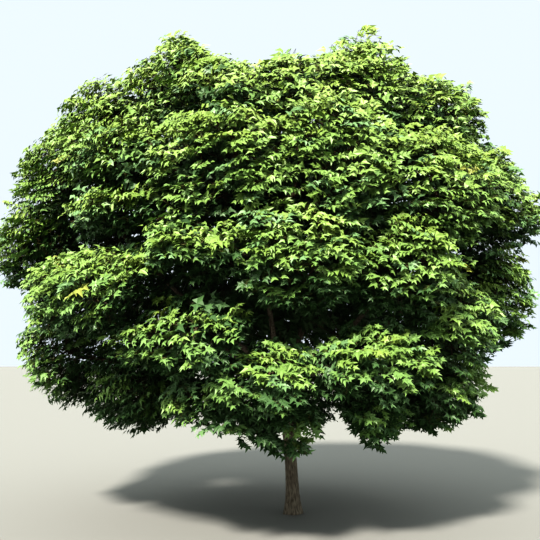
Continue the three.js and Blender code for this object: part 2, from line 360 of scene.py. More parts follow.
# Shoots, as rows: the base, direction, length and bend of each, the way outward at its tip, whether it
# belongs to the inside of the crown, and how much larger its leaves are
Shoots = namedtuple("Shoots", "base way length bend outward inner leaf_growth")

rng = np.random.default_rng(SEED)
to_sun = np.array([
    math.sin(SUN_AZIMUTH) * math.cos(SUN_HEIGHT),
    -math.cos(SUN_AZIMUTH) * math.cos(SUN_HEIGHT),
    math.sin(SUN_HEIGHT),
])
cad_low, cad_high = (np.array(corner) for corner in cad_box)
crown_middle = (np.array([cad_low[0], cad_low[1], CROWN_FOOT]) + cad_high) / 2
crown_half = cad_high - crown_middle


# Vector helpers, for one vector or for rows of them
def unit(v):
    """The vectors of v, one unit long."""
    return v / np.maximum(np.linalg.norm(v, axis=-1, keepdims=True), TINY)


def across(v, way):
    """The part of v that lies across way, as unit vectors."""
    return unit(v - np.sum(v * way, axis=-1, keepdims=True) * way)


def hermite(a, a_way, b, b_way, t):
    """Places on the smooth curve that leaves a along a_way and comes to b along b_way."""
    return (
        a * (2 * t**3 - 3 * t**2 + 1)
        + a_way * (t**3 - 2 * t**2 + t)
        + b * (3 * t**2 - 2 * t**3)
        + b_way * (t**3 - t**2)
    )


def turns(sides):
    """The angles of evenly spaced sides round a ring."""
    return np.arange(sides) * 2 * math.pi / sides


# Search trees and meshes
def tree_of(points, corners):
    """A search tree over triangles, for rays and nearest places."""
    return BVHTree.FromPolygons(points.tolist(), corners.tolist())


def new_mesh(name, points, faces, materials, face_material=None, smooth=False):
    """An object from rows of points and rows of corners, all faces with the same number of corners."""
    mesh = bpy.data.meshes.new(name)
    corners = faces.shape[1]
    mesh.vertices.add(len(points))
    mesh.vertices.foreach_set("co", np.ascontiguousarray(points, np.float32).ravel())
    mesh.loops.add(faces.size)
    mesh.loops.foreach_set("vertex_index", np.ascontiguousarray(faces, np.int32).ravel())
    mesh.polygons.add(len(faces))
    mesh.polygons.foreach_set("loop_start", np.arange(0, faces.size, corners, dtype=np.int32))
    mesh.polygons.foreach_set("loop_total", np.full(len(faces), corners, np.int32))
    for material in materials:
        mesh.materials.append(material)
    if face_material is not None:
        mesh.polygons.foreach_set("material_index", np.ascontiguousarray(face_material, np.int32))
    mesh.polygons.foreach_set("use_smooth", np.full(len(faces), smooth))
    mesh.update(calc_edges=True)
    piece = bpy.data.objects.new(name, mesh)
    bpy.context.scene.collection.objects.link(piece)
    return piece


# Materials
def plain_material(name, colour, roughness, specular=0.5):
    """A material with one colour all over."""
    material = bpy.data.materials.new(name)
    material.use_nodes = True
    shader = material.node_tree.nodes["Principled BSDF"]
    shader.inputs["Base Color"].default_value = (*colour, 1.0)
    shader.inputs["Roughness"].default_value = roughness
    shader.inputs["Specular IOR Level"].default_value = specular
    return material


def leaf_materials():
    """The greens of the leaves in the order of their tones, and the stalks' colour after them."""
    greens = [
        plain_material(name, colour, LEAF_ROUGHNESS, LEAF_SPECULAR)
        for name, colour in LEAF_COLOURS.items()
    ]
    return greens + [plain_material("leaf_stalk", STALK_COLOUR, STALK_ROUGHNESS)]


def bark_material():
    """Grey-brown bark, its tones drawn out along the height by an upright grain."""
    material = plain_material("bark", BARK_PALE[1][:3], BARK_ROUGHNESS, BARK_SPECULAR)
    nodes = material.node_tree.nodes
    links = material.node_tree.links
    place = nodes.new("ShaderNodeTexCoord")
    stretch = nodes.new("ShaderNodeMapping")
    stretch.inputs["Scale"].default_value = (1.0, 1.0, BARK_GRAIN_STRETCH)
    links.new(place.outputs["Object"], stretch.inputs["Vector"])
    grain = nodes.new("ShaderNodeTexNoise")
    grain.inputs["Scale"].default_value = BARK_GRAIN_SCALE
    grain.inputs["Detail"].default_value = BARK_GRAIN_DETAIL
    links.new(stretch.outputs["Vector"], grain.inputs["Vector"])
    tones = nodes.new("ShaderNodeValToRGB")
    for element, (position, colour) in zip(tones.color_ramp.elements, (BARK_DARK, BARK_PALE)):
        element.position = position
        element.color = colour
    links.new(grain.outputs["Fac"], tones.inputs["Fac"])
    links.new(tones.outputs["Color"], nodes["Principled BSDF"].inputs["Base Color"])
    return material


# Solids of the frame as arrays
def triangles_of(node):
    """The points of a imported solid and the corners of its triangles."""
    mesh = frame["nodes"][node].data
    mesh.calc_loop_triangles()
    points = np.zeros(len(mesh.vertices) * 3, np.float32)
    mesh.vertices.foreach_get("co", points)
    corners = np.zeros(len(mesh.loop_triangles) * 3, np.int32)
    mesh.loop_triangles.foreach_get("vertices", corners)
    return points.reshape(-1, 3).astype(float), corners.reshape(-1, 3)


def section(points, corners, place, way):
    """The centre and mean radius of a solid's section by the plane through place across way."""
    edges = np.vstack([corners[:, [0, 1]], corners[:, [1, 2]], corners[:, [2, 0]]])
    height = (points - place) @ way
    crossing = height[edges[:, 0]] * height[edges[:, 1]] < 0
    first, second = edges[crossing].T
    share = (height[first] / (height[first] - height[second]))[:, None]
    cut = points[first] + (points[second] - points[first]) * share
    centre = cut.mean(axis=0)
    return centre, np.linalg.norm(cut - centre, axis=1).mean()


class Mass:
    """One mass of foliage: the triangles of its solid, their areas and normals, and its middle."""

    def __init__(self, node):
        self.node = node
        self.points, self.corners = triangles_of(node)
        low = self.points.min(axis=0)
        high = self.points.max(axis=0)
        self.centre = (low + high) / 2
        self.low = low - CONTACT_DEPTH
        self.high = high + CONTACT_DEPTH
        a, b, c = (self.points[self.corners[:, k]] for k in range(3))
        normal = np.cross(b - a, c - a)
        self.area = np.linalg.norm(normal, axis=1) / 2
        self.normal = unit(normal)
        self.tree = tree_of(self.points, self.corners)

    def near(self, place):
        """Whether a place lies against this mass."""
        if (place < self.low).any() or (place > self.high).any():
            return False
        return self.tree.find_nearest(Vector(place), CONTACT_DEPTH)[0] is not None


def faces_of_masses():
    """A search tree over the faces of all the masses."""
    starts = np.cumsum([0] + [len(m.points) for m in masses[:-1]])
    points = np.vstack([m.points for m in masses])
    corners = np.vstack([m.corners + start for m, start in zip(masses, starts)])
    return tree_of(points, corners)


bough_nodes = sorted(n for n in frame["nodes"] if n.startswith("bough"))
masses = [Mass(n) for n in sorted(frame["nodes"]) if n != "trunk" and n not in bough_nodes]
middles = np.array([m.centre for m in masses])
crown_faces = faces_of_masses()


# Places in the crown
def crown_outward(places):
    """Unit vectors away from the crown's heart, flattened a little towards level."""
    return unit((places - CROWN_HEART) * OUTWARD_FLATNESS)


def crown_reach(places):
    """How far out in the crown places lie, from 0 at its middle to about 1 at its outline."""
    return np.linalg.norm((places - crown_middle) / crown_half, axis=1)


def crown_height(places):
    """How high in the crown places lie, from 0 at its foot to 1 at its top."""
    return (places[:, 2] - CROWN_FOOT) / (CROWN_TOP - CROWN_FOOT)


def patches(places, start):
    """A value from about -1 to 1 for each place, smooth over the patches of the crown."""
    return np.array([noise.noise(Vector(p / PATCH_SIZE + start)) for p in places])[:, None] * 2


def closed_in(place, normal, outward):
    """Whether the masses close every way out of the crown from a place on the face of one."""
    start = Vector(place + normal * CLEAR_START)
    ways = (Vector(unit(normal + turn * outward)) for turn in CLEAR_TURNS)
    return all(crown_faces.ray_cast(start, way)[0] is not None for way in ways)


def overhung(tips):
    """Whether a mass hangs over each tip, outside it and near above, so that its spray gets painted shade.
    """
    ways = unit(crown_outward(tips.places) + OVERHANG_STEEPNESS * UP)
    starts = tips.places + tips.normals * CLEAR_START
    return np.array([
        crown_faces.ray_cast(Vector(start), Vector(way), OVERHANG_REACH)[0] is not None
        for start, way in zip(starts, ways)
    ])


# Tips of the shoots
def random_places():
    """Random places all over the faces of the masses, the normal at each and the mass it is on."""
    areas = np.concatenate([m.area for m in masses])
    owner = np.concatenate([np.full(len(m.area), i) for i, m in enumerate(masses)])
    corners = np.concatenate([m.points[m.corners] for m in masses])
    normals = np.vstack([m.normal for m in masses])
    picked = rng.choice(len(areas), SHOOT_TRIES, p=areas / areas.sum())
    u, v = rng.random((2, SHOOT_TRIES))
    fold = u + v > 1
    u[fold] = 1 - u[fold]
    v[fold] = 1 - v[fold]
    a, b, c = corners[picked].transpose(1, 0, 2)
    places = a + (b - a) * u[:, None] + (c - a) * v[:, None]
    return places, normals[picked], owner[picked]


def scatter_tips():
    """Tips with an even spacing over the faces of the masses, wider where the crown closes them in, and
    few of them where two masses lie against each other."""
    places, normals, owner = random_places()
    outward = crown_outward(places)
    reach = crown_reach(places)
    spacing = np.where(places[:, 2] > STAR_LEAF_TOP, UPPER_SPACING, SHOOT_SPACING)
    hidden = np.zeros(SHOOT_TRIES, bool)
    cell = SHOOT_SPACING * INNER_SPACING
    cells = np.floor(places / cell).astype(int)
    kept = []
    kept_in_cell = {}
    for k, place in enumerate(places):
        x, y, z = cells[k]
        near = [
            i
            for a in (x - 1, x, x + 1)
            for b in (y - 1, y, y + 1)
            for c in (z - 1, z, z + 1)
            for i in kept_in_cell.get((a, b, c), ())
        ]
        apart = np.linalg.norm(places[near] - place, axis=1).min() if near else cell
        if apart < spacing[k]:
            continue
        hidden[k] = closed_in(place, normals[k], outward[k])
        if hidden[k] and apart < cell:
            continue
        if any(m.near(place) for i, m in enumerate(masses) if i != owner[k]):
            if reach[k] > INNER_REACH or rng.random() > CONTACT_SHARE:
                continue
            hidden[k] = True
        kept_in_cell.setdefault((x, y, z), []).append(k)
        kept.append(k)
    facing = np.sum(normals * outward, axis=1)
    return Tips(places[kept], normals[kept], owner[kept], facing[kept], hidden[kept])


def scatter_inner_tips():
    """Tips spread evenly round the inside of the crown, each given to the mass next to it."""
    number = np.arange(INNER_TIPS)
    height = 1 - 2 * (number + 0.5) / INNER_TIPS
    turn = number * math.pi * GOLDEN_TURN
    ring = np.sqrt(1 - height ** 2)
    way = np.stack([ring * np.cos(turn), ring * np.sin(turn), height], axis=1)
    places = crown_middle + way * crown_half * rng.uniform(*INNER_SHELL, (INNER_TIPS, 1))
    owner = np.argmin(np.linalg.norm(places[:, None] - middles[None], axis=2), axis=1)
    return Tips(places, way, owner, np.full(INNER_TIPS, -1.0), np.full(INNER_TIPS, True))


def draw_into_tiers(tips):
    """Tips moved up or down towards the layers in which the sprays of their mass lie."""
    aside = np.linalg.norm((tips.places - middles[tips.owner])[:, :2], axis=1)
    waver = np.array([noise.noise(Vector(p / TIER_WAVE_LENGTH)) for p in tips.places])
    phase = (tips.places[:, 2] + TIER_DROOP * aside + TIER_WAVER * waver) / TIER_PITCH
    shift = (np.round(phase) - phase) * TIER_PITCH * TIER_PULL
    return tips._replace(places=tips.places + UP * shift[:, None])


# Shoots: each grows out of its mass to its tip, upward on top of the crown and drooping at its sides
def shoot_ways(tips, outward, top):
    """The direction of each shoot."""
    count = len(tips.places)
    wander = SHOOT_WANDER * rng.normal(size=(count, 3)) * LEVEL
    level = unit((tips.normals + SHOOT_OUTWARD * outward) * LEVEL + wander)
    level = unit(level + np.cross(UP, level) * SHOOT_SIDEWAYS * patches(tips.places, SHOOT_PATCHES))
    rise = SHOOT_RISE * top - SHOOT_DROOP * (1 - top)
    return unit(level + UP * (rise + SHOOT_RISE_WANDER * rng.normal(size=(count, 1))))


def shoot_depths(tips):
    """How deep under its face each shoot ends, and whether it belongs to the second layer."""
    count = len(tips.places)
    deep = (rng.random(count) < DEEP_SHARE) & (tips.facing > DEEP_FACING) & ~tips.hidden
    depth = np.where(deep, rng.uniform(*DEEP_LAYER, count), rng.uniform(*OUTER_LAYER, count))
    depth = np.where(tips.hidden, rng.uniform(*HIDDEN_LAYER, count), depth)
    stray = (rng.random(count) < STRAY_SHARE) & (tips.facing > STRAY_FACING) & ~deep
    return np.where(stray, -rng.uniform(*STRAY_REACH, count), depth), deep


def grow_shoots(tips):
    """One shoot for each tip."""
    count = len(tips.places)
    outward = crown_outward(tips.places)
    top = np.clip(tips.normals[:, 2:] * TOP_GAIN - TOP_LOSS, 0, 1)
    way = shoot_ways(tips, outward, top)
    depth, deep = shoot_depths(tips)
    ends = tips.places - tips.normals * depth[:, None]
    ends = np.clip(ends, cad_low + BOX_MARGIN, cad_high - BOX_MARGIN)
    length = rng.uniform(*SHOOT_LENGTH, count)
    bend = SHOOT_BEND * rng.normal(size=(count, 3)) - UP * SHOOT_SAG * (1 - top)
    base = ends - way * length[:, None] - bend
    reach = crown_reach(ends)
    inner = deep | (tips.hidden & (reach < INNER_REACH))
    leaf_growth = np.interp(reach, [LARGEST_LEAF_REACH, INNER_REACH], [INNER_LEAF, DEEP_LEAF])
    return Shoots(base, way, length, bend, outward, inner, np.where(inner, leaf_growth, 1.0))


def along_shoots(shoots, own, t):
    """Places on some of the shoots, from 0 at the base to 1 at the tip."""
    t = t[:, None]
    return shoots.base[own] + shoots.way[own] * shoots.length[own, None] * t + shoots.bend[own] * t * t


# Leaf outlines: half of each from the lowest lobe round to the notch beside the tip, and how far each
# point stands off the blade's plane. The large leaves below have five lobes and the rest three.
HALF_STAR_LEAF = np.array([
    (0.40, -0.13, -0.06),
    (0.25, 0.12, 0.03),
    (0.55, 0.42, -0.08),
    (0.19, 0.40, 0.03),
])
HALF_UPPER_LEAF = np.array([
    (0.50, 0.16, -0.08),
    (0.20, 0.40, 0.03),
])
LEAF_HUB = (0.0, 0.0, 0.0)
LEAF_TIP = (0.0, 0.93, -0.12)


def leaf_outline(half):
    """The hub of a leaf and the points of its outline, for a leaf one unit wide."""
    points = np.vstack([LEAF_HUB, half, LEAF_TIP, half[::-1] * (-1, 1, 1)])
    return points / (2 * half[:, 0].max())


# Leaves: pairs of them along each shoot
def grow_leaves(shoots, own, t, spread, slant, outline, widths):
    """One leaf on each of some shoots: where its stalk starts and ends, and the corners of its blade."""
    count = len(own)
    way = shoots.way[own]
    inner = shoots.inner[own]
    node = along_shoots(shoots, own, t)
    jitter = rng.normal(size=(3, count, 3))
    reach = (STALK_AT_FOOT - STALK_FALL * t) * rng.uniform(*STALK_LENGTH, count)
    stalk = unit(spread + STALK_FORWARD * way + STALK_RISE * UP + STALK_WANDER * jitter[0])
    foot = node + stalk * reach[:, None]
    tilt = LEAF_TILT_FOOT + (LEAF_TILT_TOP - LEAF_TILT_FOOT) * crown_height(node)
    tilt = np.where(inner, LEAF_TILT_INNER, tilt) + rng.normal(0, TILT_WANDER, count)
    lean = np.where(inner[:, None], 0.0, LEAN_TO_LIGHT * to_sun)
    level_out = unit((shoots.outward[own] + lean + LEAN_WANDER * jitter[1]) * LEVEL)
    face = UP * np.cos(tilt)[:, None] + level_out * np.sin(tilt)[:, None]
    face = unit(face + slant + LEAF_SLANT * jitter[2])
    rib = spread + RIB_FORWARD * way * t[:, None] + RIB_OUTWARD * level_out + RIB_WANDER * jitter[0]
    rib = across(rib, face)
    width = rng.uniform(*widths, count) * (WIDTH_AT_FOOT - WIDTH_FALL * t ** 2)
    width = width * shoots.leaf_growth[own]
    curl = rng.uniform(*LEAF_CURL, count) * width
    size = np.stack([width, width, curl], axis=1)[:, None]
    axes = np.stack([np.cross(rib, face), rib, face], axis=1)
    return np.stack([node, foot], axis=1), foot[:, None] + (outline * size) @ axes


def place_leaves(shoots, chosen, outline, pair_range, widths):
    """The shoot that each leaf of the chosen shoots grows on, its stalk and the corners of its blade."""
    count = len(shoots.base)
    pairs = np.where(shoots.inner, INNER_PAIRS, rng.integers(pair_range[0], pair_range[1] + 1, count))
    pairs = np.where(chosen, pairs, 0)
    steep = across(UP + PLANE_ROLL * rng.normal(size=(count, 3)), shoots.way)
    level = np.cross(shoots.way, steep)
    turn = rng.normal(0, PLANE_TURN, count)
    patch_slant = PATCH_SLANT * patches(shoots.base, BLADE_PATCHES) * (1, 0, 0)
    slant = CROWN_SLANT + patch_slant + SHOOT_SLANT * rng.normal(size=(count, 3))
    owners, stalks, blades = [], [], []
    for pair in range(pair_range[1]):
        own = np.flatnonzero(pairs > pair)
        shift = rng.uniform(*PAIR_SHIFT, len(own))
        t = FIRST_PAIR + PAIR_SPAN * (pair / (pairs[own] - 1)) + shift
        angle = (turn[own] + rng.normal(0, PAIR_TURN, len(own)))[:, None]
        spread = unit(level[own] * np.cos(angle) + SPRAY_THICKNESS * steep[own] * np.sin(angle))
        for side in (1, -1):
            stalk, blade = grow_leaves(shoots, own, t, spread * side, slant[own], outline, widths)
            owners.append(own)
            stalks.append(stalk)
            blades.append(blade)
    return np.concatenate(owners), np.concatenate(stalks), np.concatenate(blades)


# Colours: each spray takes one of a few plain greens, brighter where the crown faces the light, partly
# the real tone of sunlit leaves and partly painted light, and the darkest green, as painted shade,
# inside it and under an overhang
def deal_colours(tips, inner):
    """The tone of each shoot's leaves, as a place in the list of leaf colours."""
    count = len(tips.places)
    slope = np.clip(tips.normals[:, 2], -1, 1)
    # lighter greens high, upward and outward: partly the real tone of sunlit leaves, partly painted light
    bright = BRIGHT_HEIGHT * crown_height(tips.places) + BRIGHT_SLOPE * slope + BRIGHT_FACING * tips.facing
    bright = bright + rng.normal(0, BRIGHT_WANDER, count)
    tone = np.digitize(-bright, -np.array(TONE_STEPS))
    tone = np.where(rng.random(count) < BLUISH_SHARE, BLUISH, tone)
    tone = np.where(rng.random(count) < TINTED_SHARE, TINTED, tone)
    # painted shade: sprays inside the crown or under an overhang take the darkest green
    return np.where(inner | overhung(tips), PAINTED_SHADE, tone)


def groups_of_masses(owner):
    """The masses in groups of neighbours round the crown, each with about the same number of shoots."""
    bearing = [math.atan2(m.centre[0] - CROWN_HEART[0], -m.centre[1]) for m in masses]
    order = np.argsort(bearing)
    load = np.cumsum([(owner == i).sum() for i in order])
    group = np.ceil(load * LEAF_PIECES / load[-1] - TINY)
    return [order[group == k + 1] for k in range(LEAF_PIECES)]


def fans(count, size):
    """Triangles from the first corner of each of some blades to the others."""
    fan = np.array([(0, k, k + 1) for k in range(1, size - 1)])
    return (fan[None] + size * np.arange(count)[:, None, None]).reshape(-1, 3)


def leaf_pieces(owner, inner, tones, kinds):
    """One object of leaves for each group of masses, from the kinds of leaf. Leaves inside the crown
    have no stalks."""
    materials = leaf_materials()
    stalk_tone = len(LEAF_COLOURS)
    for number, group in enumerate(groups_of_masses(owner), start=1):
        points, faces, tone = [], [], []
        start = 0
        for owners, stalks, blades in kinds:
            leaves = np.flatnonzero(np.isin(owner[owners], group))
            size = blades.shape[1]
            points.append(blades[leaves].reshape(-1, 3))
            faces.append(fans(len(leaves), size) + start)
            tone.append(np.repeat(tones[owners[leaves]], size - 2))
            start += size * len(leaves)
            stalked = leaves[~inner[owners[leaves]]]
            node = stalks[stalked, 0]
            foot = stalks[stalked, 1]
            breadth = STALK_RADIUS * across(rng.normal(size=node.shape), foot - node)
            points.append(np.stack([node - breadth, node + breadth, foot], axis=1).reshape(-1, 3))
            faces.append(fans(len(stalked), 3) + start)
            tone.append(np.full(len(stalked), stalk_tone))
            start += 3 * len(stalked)
        piece = new_mesh(
            f"leaves_{number}", np.vstack(points), np.vstack(faces), materials, np.concatenate(tone)
        )
        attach(piece, "root")
        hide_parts(*(masses[i].node for i in group))


# Limbs: the centrelines of the boughs, and of the branches that leave them for each mass
class Limb:
    """A line of places, with the way from the trunk to each and the shoots that it carries there."""

    def __init__(self, places, start_length=0.0, parent=None, parent_index=0, mass=None):
        self.places = places
        steps = np.linalg.norm(np.diff(places, axis=0), axis=1)
        self.lengths = start_length + np.concatenate([[0.0], np.cumsum(steps)])
        self.parent = parent
        self.parent_index = parent_index
        self.mass = mass
        self.loads = np.zeros(len(places))

    def heading(self, index):
        """The direction of the limb at one of its places."""
        before = max(index - 1, 0)
        after = min(index + 1, len(self.places) - 1)
        return unit(self.places[after] - self.places[before])

    def costs(self, goal):
        """What it costs to leave each place of this limb for a goal."""
        cost = np.linalg.norm(self.places - goal, axis=1) + LENGTH_COST * self.lengths
        cost[: len(cost) // FOOT_PART] += FOOT_COST
        return cost


def bough_line(node):
    """The centres and radii of a bough's sections, from the trunk to its end inside a mass."""
    points, corners = triangles_of(node)
    first = points[np.argmin(np.linalg.norm(points[:, :2], axis=1) + points[:, 2])]
    last = points[np.argmax(np.linalg.norm(points - first, axis=1))]
    way = unit(last - first)
    span = (last - first) @ way
    sections = [
        section(points, corners, first + way * span * t, way)
        for t in np.linspace(BOUGH_END, 1 - BOUGH_END, BOUGH_SECTIONS)
    ]
    centres = np.array([centre for centre, _ in sections])
    radii = np.array([radius for _, radius in sections])
    into_trunk = centres[0] - unit(centres[1] - centres[0]) * (BOUGH_END * span + TRUNK_REACH)
    into_mass = centres[-1] + unit(centres[-1] - centres[-2]) * (BOUGH_END * span + MASS_REACH)
    centres = np.vstack([into_trunk, centres, into_mass])
    radii = np.concatenate([[radii[0] * BOUGH_FOOT_SWELL], radii, [radii[-1] * BOUGH_TIP_TAPER]])
    return centres, radii


def smooth_line(places, values, count):
    """Places and values resampled evenly along a smooth curve through them."""
    tangents = np.gradient(places, axis=0)
    steps = np.linspace(0, len(places) - 1, count)
    index = np.minimum(steps.astype(int), len(places) - 2)
    t = (steps - index)[:, None]
    curve = hermite(places[index], tangents[index], places[index + 1], tangents[index + 1], t)
    return curve, np.interp(steps, np.arange(len(places)), values)


def limb_to_mass(mass, limbs):
    """The limb to a mass, leaving whichever of the limbs brings it the shortest way."""
    goal = masses[mass].centre
    costs = [limb.costs(goal) for limb in limbs]
    best = int(np.argmin([cost.min() for cost in costs]))
    parent = limbs[best]
    index = int(np.argmin(costs[best]))
    start = parent.places[index]
    entry = goal + (start - goal) * LIMB_END
    span = np.linalg.norm(entry - start)
    leaving = unit(parent.heading(index) + unit(entry - start))
    coming = unit(unit(goal - start) + LIMB_OUTWARD * crown_outward(goal))
    t = np.linspace(0, 1, LIMB_PLACES)[:, None]
    places = hermite(start, leaving * span, entry, coming * span, t)
    return Limb(places, parent.lengths[index], parent, index, mass)


def limb_network(bough_places, owner):
    """One limb for each mass, the nearest mass first, with the shoots that each place of it carries."""
    limbs = [Limb(places) for places in bough_places]
    head = np.mean([places[0] for places in bough_places], axis=0)
    for mass in np.argsort(np.linalg.norm(middles - head, axis=1)):
        limbs.append(limb_to_mass(mass, limbs))
    limbs = limbs[len(bough_places):]
    for limb in limbs:
        limb.loads += (owner == limb.mass).sum()
    for limb in reversed(limbs):
        limb.parent.loads[: limb.parent_index + 1] += limb.loads[0]
    return limbs


# Tubes and forks
class Tubes:
    """Lines with the same number of places, gathered as tubes and then made into one mesh."""

    def __init__(self, sides):
        self.sides = sides
        self.lines = []
        self.radii = []

    def add(self, line, radii):
        self.lines.append(line)
        self.radii.append(radii)

    def arrays(self):
        """The points and faces of all the tubes."""
        line = np.array(self.lines)
        radius = np.array(self.radii)
        count, rings = radius.shape
        way = unit(np.gradient(line, axis=1))
        chord = unit(line[:, -1] - line[:, 0])
        aside = np.where(np.abs(chord[:, 2:]) < STEEP_CHORD, UP, np.array([1.0, 0.0, 0.0]))
        first = across(np.broadcast_to(aside[:, None], way.shape), way)
        second = np.cross(way, first)
        angle = turns(self.sides)[:, None]
        around = first[:, :, None] * np.cos(angle) + second[:, :, None] * np.sin(angle)
        points = line[:, :, None] + around * radius[:, :, None, None]
        quads, _, _ = skin_faces(rings, self.sides)
        faces = quads[None] + (np.arange(count) * rings * self.sides)[:, None, None]
        return points.reshape(-1, 3), faces.reshape(-1, 3)


def branch_radius(load):
    """The radius of a branch that carries so many shoots."""
    return np.minimum(SHOOT_RADIUS * np.maximum(load, 1.0) ** THICKENING, THICKEST_BRANCH)


def halves(carried, bases):
    """Shoots shared between two branches, along the line on which their bases are most spread."""
    offsets = bases[carried] - bases[carried].mean(axis=0)
    _, _, axes = np.linalg.svd(offsets, full_matrices=False)
    order = np.argsort(offsets @ axes[0])
    cut = int(np.clip(round(len(carried) * rng.uniform(*FORK_SPLIT)), 1, len(carried) - 1))
    return carried[order[:cut]], carried[order[cut:]]


def grow_branch(limb, carried, bases, tubes):
    """Splits a limb's end again and again, down to a fan of twigs that carry one shoot each."""
    end = len(limb.places) - 1
    stack = [(limb.places[end], limb.heading(end), branch_radius(len(carried)), carried)]
    while stack:
        place, heading, radius, carried = stack.pop()
        if len(carried) <= TWIG_FAN:
            for shoot in carried:
                tubes["twig"].add(np.array([place, bases[shoot]]), np.array([radius, SHOOT_RADIUS]))
            continue
        share = rng.uniform(*FORK_SHARE)
        toward = bases[carried].mean(axis=0) - place
        span = np.linalg.norm(toward) * share
        fork = place + toward * share + rng.normal(size=3) * span * FORK_WANDER
        leaving = unit(fork - place + heading * span * FORK_HEADING)
        fork_radius = branch_radius(len(carried))
        kind = "branch" if len(carried) >= BRANCH_LOAD else "twig"
        rings = BRANCH_RINGS if kind == "branch" else TWIG_RINGS
        t = np.linspace(0, 1, rings)[:, None]
        line = hermite(place, heading * span, fork, leaving * span, t)
        tubes[kind].add(line, np.linspace(radius, fork_radius, rings))
        for half in halves(carried, bases):
            stack.append((fork, leaving, fork_radius, half))


# Bark: the trunk with its furrows, and the boughs with a collar where they leave it
def bark_relief(place, stretch):
    """How far the bark stands out at a place, from about -1 to 1."""
    furrow = Vector(place * (1, 1, stretch) * BARK_SCALE)
    ridges = 1 - abs(noise.noise(furrow)) * 2
    grain = noise.noise(furrow * GRAIN_SCALE)
    knots = noise.noise(Vector(place) * KNOT_SCALE)
    return RIDGES * ridges + GRAIN * grain + KNOTS * knots - RELIEF_LEVEL


def relief_over(places, stretch):
    """The bark's relief at rings of places."""
    return np.array([[bark_relief(place, stretch) for place in ring] for ring in places])[..., None]


def soften(values, passes):
    """Rounds the facets of rings of radii, around each ring and along the rings."""
    for _ in range(passes):
        around = (np.roll(values, 1, axis=1) + np.roll(values, -1, axis=1)) / 2
        values = 0.5 * values + 0.5 * around
        along = (values[2:] + values[:-2]) / 2
        values[1:-1] = 0.5 * values[1:-1] + 0.5 * along
    return values


def trunk_skin():
    """Rings of places round the trunk, out to its solid and then out or in by the relief."""
    points, corners = triangles_of("trunk")
    tree = tree_of(points, corners)
    top = points[:, 2].max()
    heights = np.linspace(0.0, top - TRUNK_END_GAP, TRUNK_RINGS)
    angle = turns(TRUNK_SIDES)
    ways = np.stack([np.cos(angle), np.sin(angle), np.zeros(TRUNK_SIDES)], axis=1)
    inside = np.clip(heights, SECTION_LOW, top - SECTION_HIGH)
    axis = LEVEL * [section(points, corners, UP * height, UP)[0] for height in inside]
    starts = axis + UP * inside[:, None]
    reach = np.array([[tree.ray_cast(Vector(p), Vector(way))[3] for way in ways] for p in starts])
    rings = axis + UP * heights[:, None]
    skin = rings[:, None] + ways * soften(reach, TRUNK_SOFTENING)[..., None]
    return skin + ways * relief_over(skin, TRUNK_STRETCH) * TRUNK_RELIEF


def bough_skin(line, radii):
    """Rings of places round a bough, with its collar and relief."""
    way = unit(np.gradient(line, axis=0))
    first = across(np.tile(BOUGH_ASIDE, (len(line), 1)), way)
    second = np.cross(way, first)
    lengths = np.concatenate([[0.0], np.cumsum(np.linalg.norm(np.diff(line, axis=0), axis=1))])
    collar = 1 + COLLAR_SWELL * np.exp(-lengths / COLLAR_LENGTH)
    angle = turns(BOUGH_SIDES)[:, None]
    out = first[:, None] * np.cos(angle) + second[:, None] * np.sin(angle)
    skin = line[:, None] + out * (radii * collar)[:, None, None]
    unrolled = np.zeros(skin.shape)
    unrolled[..., 0] = angle[:, 0] * radii[:, None]
    unrolled[..., 2] = lengths[:, None]
    depth = BOUGH_RELIEF * (radii / radii[0])[:, None, None]
    return skin + out * relief_over(unrolled + BOUGH_PATTERN + line[0], BOUGH_STRETCH) * depth


def skin_faces(rings, sides):
    """The faces of a skin, and the ring and the side that each of their corners is at."""
    ring, side = np.meshgrid(np.arange(rings - 1), np.arange(sides), indexing="ij")
    at_ring = np.stack([ring, ring, ring + 1, ring, ring + 1, ring + 1], axis=-1).reshape(-1, 3)
    at_side = np.stack([side, side + 1, side + 1, side, side + 1, side], axis=-1).reshape(-1, 3)
    return at_ring * sides + at_side % sides, at_ring, at_side


def end_faces(rings, sides):
    """The faces that close both ends of a skin, and the side that each of their corners is at."""
    top = fans(1, sides)
    foot = top[:, ::-1]
    return np.vstack([foot, top + (rings - 1) * sides]), np.vstack([foot, top])


def bark_map(rings, sides, left, width):
    """Where the corners of a skin's faces lie on the bark's map: one upright strip, and its two ends
    as discs above it."""
    _, at_ring, at_side = skin_faces(rings, sides)
    strip = np.stack([left + width * at_side / sides, STRIP_TOP * at_ring / (rings - 1)], axis=-1)
    _, at_side = end_faces(rings, sides)
    centre = left + width * np.repeat(END_PLACES, len(at_side) // 2)[:, None]
    angle = turns(sides)[at_side]
    radius = min(END_SHARE * width, END_RADIUS)
    ends = np.stack([centre + radius * np.cos(angle), END_HEIGHT + radius * np.sin(angle)], axis=-1)
    return np.vstack([strip, ends])


def bark_piece(boughs):
    """The skins of the trunk and of all the boughs as one mesh, with a map for the bark's bake."""
    skins = [trunk_skin()]
    skins += [bough_skin(*smooth_line(line, radii, BOUGH_RINGS)) for line, radii in boughs]
    strips = [TRUNK_STRIP] + [BOUGH_STRIP] * len(boughs)
    points, faces, map_places = [], [], []
    start = 0
    left = 0.0
    for skin, width in zip(skins, strips):
        rings, sides, _ = skin.shape
        points.append(skin.reshape(-1, 3))
        faces.append(np.vstack([skin_faces(rings, sides)[0], end_faces(rings, sides)[0]]) + start)
        map_places.append(bark_map(rings, sides, left, width))
        start += rings * sides
        left += width + STRIP_MARGIN
    piece = new_mesh("bark", np.vstack(points), np.vstack(faces), [bark_material()], smooth=True)
    bake_map = piece.data.uv_layers.new(name="OFBake")
    bake_map.data.foreach_set("uv", np.vstack(map_places).astype(np.float32).ravel())
    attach(piece, "root")
    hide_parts("trunk", *bough_nodes)


